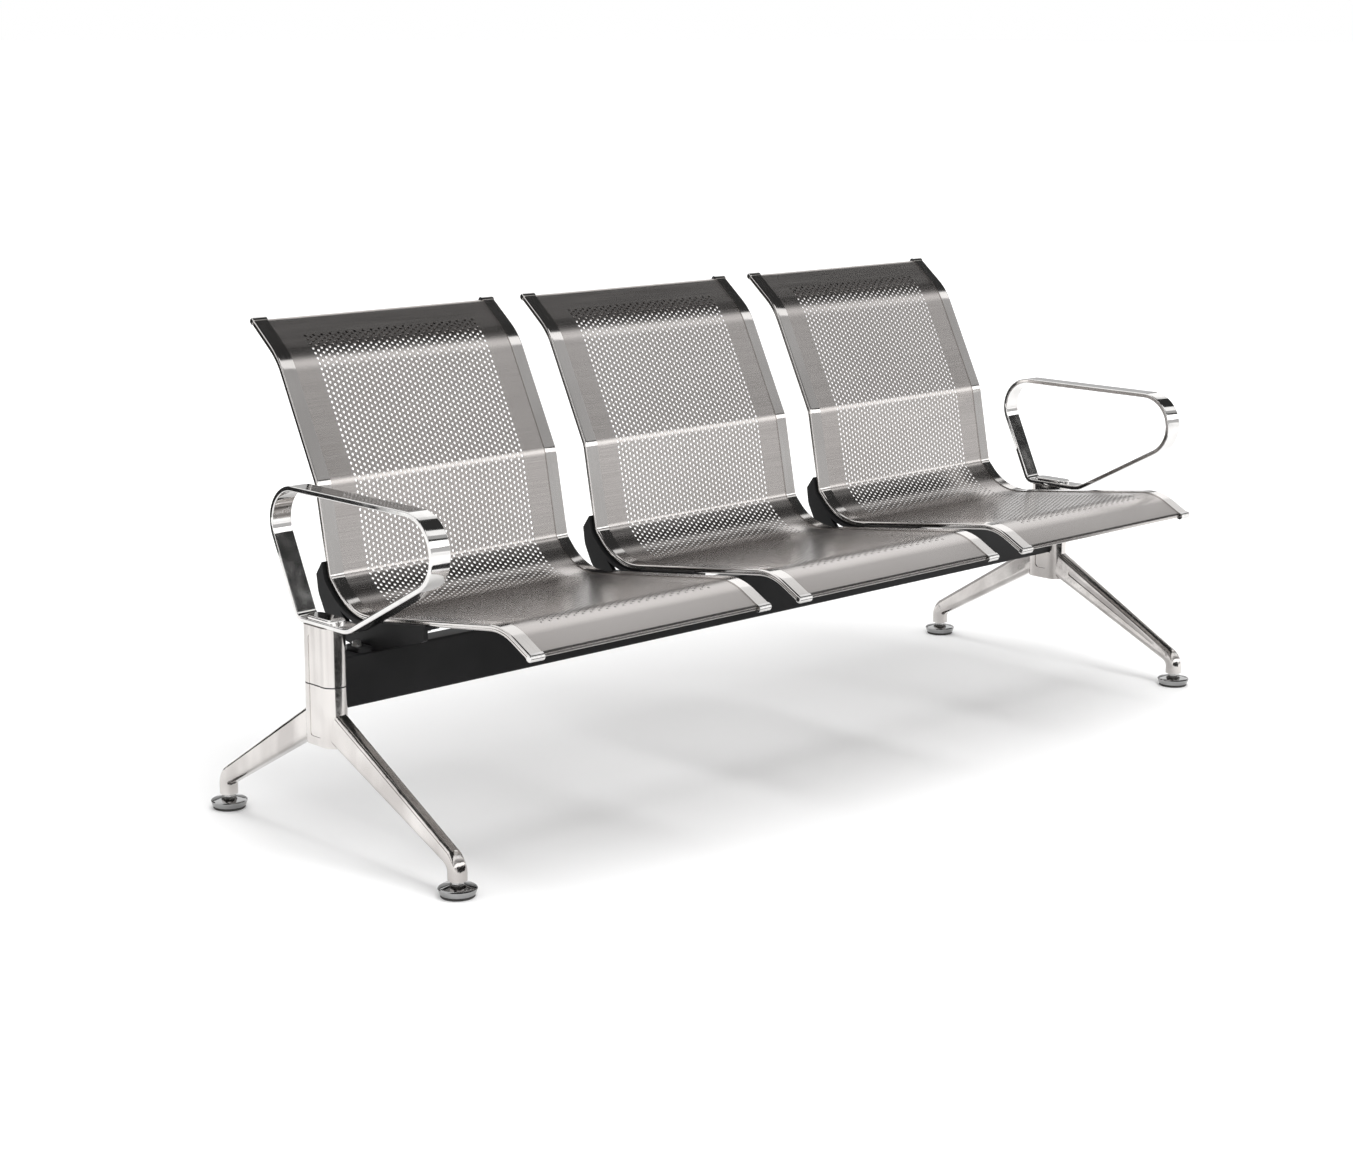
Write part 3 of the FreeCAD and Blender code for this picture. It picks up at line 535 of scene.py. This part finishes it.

# %% [markdown]
# ## Chrome
#
# The armrests, the end caps of the rails and the caps of the glides are plated,
# the smoothest metal here. A perfect mirror looks false, so slow ripples bend the
# reflections and fingers have left a few smudges. The glide caps get a darker
# copy, a painted dark reflection, so one function makes both platings.

# %% Two chromes
def plating(name, clean, smudged):
    """Smooth plating with slow ripples and a few smudges."""
    finish = Finish(name, Metallic=1.0)
    ripple = finish.noise((9.0, 9.0, 9.0), 1.0)
    smudge = finish.noise((40.0, 40.0, 40.0), 3.0)
    smudge_tone = finish.spread(smudge, 0.4, 0.7, 0.0, 1.0)
    finish.paint(smudge_tone, clean, smudged)
    finish.feed("Roughness", finish.spread(smudge, 0.35, 0.75, 0.05, 0.12))
    finish.bump(ripple, 0.04, 0.001)
    finish.tell()
    return finish


chrome = plating("chrome", (0.70, 0.69, 0.68), (0.63, 0.62, 0.61))
# The darker plating of the glide caps is a painted dark reflection.
shaded_chrome = plating("shaded_chrome", (0.34, 0.34, 0.34), (0.28, 0.28, 0.28))

# %% [markdown]
# ## Black coat, fasteners and rubber
#
# The beam and the brackets are powder coated: black, half matt, with a very fine
# orange-peel surface. The fasteners are zinc plated, a little yellow and uneven.
# The two rubbers are matt, and the pads are dusty where they meet the floor.

# %% Black coat
black_coat = Finish("black_paint", Specular_IOR_Level=0.2)
peel = black_coat.noise((1200.0, 1200.0, 1200.0), 1.0)
dust = black_coat.noise((8.0, 8.0, 8.0), 3.0)
dusty = black_coat.spread(dust, 0.45, 0.75, 0.0, 1.0)
black_coat.paint(dusty, (0.006, 0.006, 0.0065), (0.012, 0.012, 0.0125))
black_coat.feed("Roughness", black_coat.spread(dust, 0.3, 0.7, 0.38, 0.50))
black_coat.bump(peel, 0.15, 0.0002)
black_coat.tell()

# %% Zinc plated fasteners
zinc = Finish("plated_fastener", Metallic=1.0)
bloom = zinc.noise((300.0, 300.0, 300.0), 3.0)
zinc.paint(bloom, (0.52, 0.52, 0.53), (0.64, 0.63, 0.60))
zinc.feed("Roughness", zinc.spread(bloom, 0.3, 0.7, 0.24, 0.42))
zinc.bump(bloom, 0.08, 0.0002)
zinc.tell()


# %% Two rubbers
def rubber(name, dark, pale, dust_height):
    """Matt rubber that is paler where dust gathers near the floor."""
    finish = Finish(name)
    grit = finish.noise((400.0, 400.0, 400.0), 3.0)
    height = finish.add("ShaderNodeSeparateXYZ", None, {0: finish.place()}, "Z")
    near_floor = finish.spread(height, 0.0, dust_height, 1.0, 0.0)
    shade = finish.spread(grit, 0.3, 0.7, 0.0, 0.6) + near_floor * 0.4
    finish.paint(shade, dark, pale)
    finish.feed("Roughness", finish.spread(grit, 0.3, 0.7, 0.62, 0.82))
    finish.bump(grit, 0.15, 0.0003)
    finish.tell()
    return finish


gasket_rubber = rubber("gasket_rubber", (0.012, 0.012, 0.012), (0.025, 0.025, 0.025), 0.01)
pad_rubber = rubber("pad_rubber", (0.018, 0.018, 0.018), (0.05, 0.048, 0.045), 0.006)

# %% [markdown]
# ## Giving every part its finish
#
# The record of the frame names a material slot for each part, so most parts are
# dressed by their slot. The glide caps and the columns take the special versions
# made above. A sheet has two finishes: its small wall faces use the second one.

# %% Give every part its finish
finishes = {
    "brushed_sheet": brushed_sheet,
    "polished_rail": polished_rail,
    "polished_casting": polished_leg,
    "chrome": chrome,
    "black_paint": black_coat,
    "plated_fastener": zinc,
    "gasket_rubber": gasket_rubber,
    "pad_rubber": pad_rubber,
}


def dress(piece, finish):
    piece.data.materials.clear()
    piece.data.materials.append(finish.material)


for node_name, part in nodes.items():
    dress(part, finishes[slot_of[node_name]])
    # The glide caps take the darker plating, a painted dark reflection.
    if node_name.endswith("glide_cap"):
        dress(part, shaded_chrome)
    if node_name.endswith("_column"):
        dress(part, polished_column)
for sheet_piece in sheets:
    dress(sheet_piece, brushed_sheet)
    # The second finish, on the hole walls, paints shade inside the holes.
    sheet_piece.data.materials.append(shaded_hole_wall.material)
print("finishes", sorted(finishes))

# %% [markdown]
# ## Floor, studio and camera
#
# Metal shows only what stands around it, so the studio is planned like the one of
# a product photographer. The floor is pale and lifted a little where cameras and
# mirrors see it, more so further out. The softboxes are as long as the studio and
# lie along the bench, and then a surface's tone depends on its slope alone. One
# angle places them: it counts from the front horizon, over the bench, to the
# horizon behind. They are bands in the World, which cost no light objects.

# %% Floor
WHITE = (1.0, 1.0, 1.0, 1.0)
FLOOR_COLOUR = (0.86, 0.86, 0.86, 1.0)
FLOOR_HALF = 400.0
LIFT_NEAR = 0.02
LIFT_FAR = 0.55
BENCH_REACH = 0.5
FAR_FLOOR = 3.0
floor_mesh = bmesh.new()
bmesh.ops.create_grid(floor_mesh, x_segments=1, y_segments=1, size=FLOOR_HALF)
floor_data = bpy.data.meshes.new("floor")
floor_mesh.to_mesh(floor_data)
floor_mesh.free()
floor = bpy.data.objects.new("floor", floor_data)
bpy.context.scene.collection.objects.link(floor)


def seen_rays(board):
    """One for rays from the camera, a mirror or a glass, and nought for light on its way."""
    kinds = ("Is Camera Ray", "Is Glossy Ray", "Is Transmission Ray")
    camera, glossy, clear = [board.add("ShaderNodeLightPath", output=kind) for kind in kinds]
    return camera + glossy + clear


floor_finish = Finish("studio_floor", Roughness=0.9)
floor_finish.feed("Base Color", FLOOR_COLOUR)
as_length = {"operation": "LENGTH"}
from_bench = floor_finish.add("ShaderNodeVectorMath", as_length, {0: floor_finish.place()}, "Value")
# The lift is least near the bench, so the floor there stays darker, a painted shade around the bench;
# further out it glows to a white backdrop.
lift = floor_finish.spread(from_bench, BENCH_REACH, FAR_FLOOR, LIFT_NEAR, LIFT_FAR)
floor_finish.feed("Emission Color", WHITE)
floor_finish.feed("Emission Strength", seen_rays(floor_finish) * lift)
floor_finish.tell()
dress(floor, floor_finish)

# %% Studio surroundings
CEILING = 0.04
HORIZON_LOW = 0.01
HORIZON_HIGH = 0.05
SOFTBOXES = [
    # first and last degree, soft edge, brightness
    (-20.0, 13.0, 2.0, 0.58),
    (16.0, 32.0, 1.5, 2.30),
    (39.5, 49.0, 1.5, 0.45),
    (50.0, 63.0, 2.0, 1.30),
    (103.5, 112.0, 2.0, 1.00),
    (114.0, 150.0, 2.0, 1.35),
    (158.0, 200.0, 4.0, 0.50),
]
world = bpy.data.worlds.new("studio")
bpy.context.scene.world = world
world.use_nodes = True
studio = Board(world.node_tree)
toward = studio.add("ShaderNodeTexCoord", output="Generated")
depth = studio.add("ShaderNodeSeparateXYZ", None, {0: toward}, "Y")
height = studio.add("ShaderNodeSeparateXYZ", None, {0: toward}, "Z")
slope = height.maths("ARCTAN2", height, 0.0 - depth) * math.degrees(1.0)

level = studio.spread(height, HORIZON_LOW, HORIZON_HIGH, 1.0, CEILING)
for first, last, edge, brightness in SOFTBOXES:
    begins = studio.spread(slope, first - edge, first, 0.0, brightness)
    ends = studio.spread(slope, last, last + edge, 1.0, 0.0)
    level = level + begins * ends
camera_ray = studio.add("ShaderNodeLightPath", output="Is Camera Ray")
backdrop = studio.add("ShaderNodeMix", {"data_type": "FLOAT"}, {0: camera_ray, 2: level, 3: 1.0})
studio.join(world.node_tree.nodes["Background"].inputs["Strength"], backdrop)
world.node_tree.nodes["Background"].inputs["Color"].default_value = WHITE
print("softboxes along the bench", len(SOFTBOXES))


# %% [markdown]
# ## One lamp for the shadow
#
# The light of the World comes from all round and leaves hardly a shadow to stand
# on. A large lamp high above the bench throws a soft one under the seats. It is
# hidden from mirrors, because it would cut across the bands of the softboxes.

# %% Lamp
LOOKS_AT = Vector((0.0, 0.0, 0.5))


def lamp(name, azimuth, elevation, distance, width, height, strength):
    """A rectangular lamp that looks at the middle of the bench and shows in no metal."""
    turn, rise = math.radians(azimuth), math.radians(elevation)
    away = Vector((math.sin(turn) * math.cos(rise), -math.cos(turn) * math.cos(rise), math.sin(rise)))
    data = bpy.data.lights.new(name, "AREA")
    data.shape = "RECTANGLE"
    data.size = width
    data.size_y = height
    data.energy = strength * width * height
    lamp_object = bpy.data.objects.new(name, data)
    lamp_object.location = LOOKS_AT + away * distance
    lamp_object.rotation_euler = away.to_track_quat("Z", "Y").to_euler()
    lamp_object.visible_glossy = False
    bpy.context.scene.collection.objects.link(lamp_object)
    print("lamp", name, "with", round(data.energy, 1), "watts")


lamp("overhead", azimuth=0.0, elevation=76.0, distance=3.6, width=2.6, height=3.0, strength=17.0)

# %% [markdown]
# ## Black flags
#
# Upright polished metal would show nothing but the white floor. Two black flags,
# which only mirrors see, give it dark lines: a tall one behind the bench for the
# outer sides of the rails, and a low one in front for the columns and the feet.

# %% Two flags
def flag(name, left, right, y, height):
    """A black upright card on the floor, parallel to the bench."""
    card = bmesh.new()
    bmesh.ops.create_grid(card, x_segments=1, y_segments=1, size=0.5)
    bmesh.ops.scale(card, verts=card.verts, vec=(right - left, height, 1.0))
    bmesh.ops.rotate(card, verts=card.verts, matrix=Matrix.Rotation(math.radians(90.0), 3, "X"))
    bmesh.ops.translate(card, verts=card.verts, vec=((left + right) / 2, y, height / 2))
    data = bpy.data.meshes.new(name)
    card.to_mesh(data)
    card.free()
    piece = bpy.data.objects.new(name, data)
    bpy.context.scene.collection.objects.link(piece)
    piece.visible_camera = False
    piece.visible_diffuse = False
    piece.visible_shadow = False
    dress(piece, black_coat)
    print("flag", name, round(right - left, 2), "by", height, "m")


flag("rear_flag", left=-2.42, right=-0.9, y=1.9, height=1.3)
flag("front_flag", left=-1.2, right=1.1, y=-0.7, height=0.2)

# %% [markdown]
# ## Camera
#
# The photograph was taken from the left front, from somewhat above the backrests.
# A Track To constraint could aim the camera, but the fitted view has a small roll
# too, so the camera's three axes are built from azimuth, elevation and roll.

# %% Camera at the photograph's viewing angle
CAMERA_AZIMUTH = math.radians(-43.684)
CAMERA_ELEVATION = math.radians(12.334)
CAMERA_ROLL = math.radians(0.102)
CAMERA_PLACE = (-2.9865, -2.9361, 1.2039)
LENS = 66.43

back = Vector((
    math.sin(CAMERA_AZIMUTH) * math.cos(CAMERA_ELEVATION),
    -math.cos(CAMERA_AZIMUTH) * math.cos(CAMERA_ELEVATION),
    math.sin(CAMERA_ELEVATION),
))
level_right = Vector((math.cos(CAMERA_AZIMUTH), math.sin(CAMERA_AZIMUTH), 0.0))
level_up = back.cross(level_right)
right = level_right * math.cos(CAMERA_ROLL) + level_up * math.sin(CAMERA_ROLL)
up = back.cross(right)

camera_data = bpy.data.cameras.new("camera")
camera_data.sensor_width = 36.0
camera_data.lens = LENS
camera = bpy.data.objects.new("camera", camera_data)
camera.matrix_world = Matrix.Translation(CAMERA_PLACE) @ Matrix((right, up, back)).transposed().to_4x4()
bpy.context.scene.collection.objects.link(camera)
bpy.context.scene.camera = camera
bpy.context.scene.view_settings.view_transform = "Standard"
print("camera", [round(v, 3) for v in camera.matrix_world.translation])

# %% [markdown]
# ## The end
#
# Last of all the view layer is updated.

# %% Update the scene
bpy.context.view_layer.update()
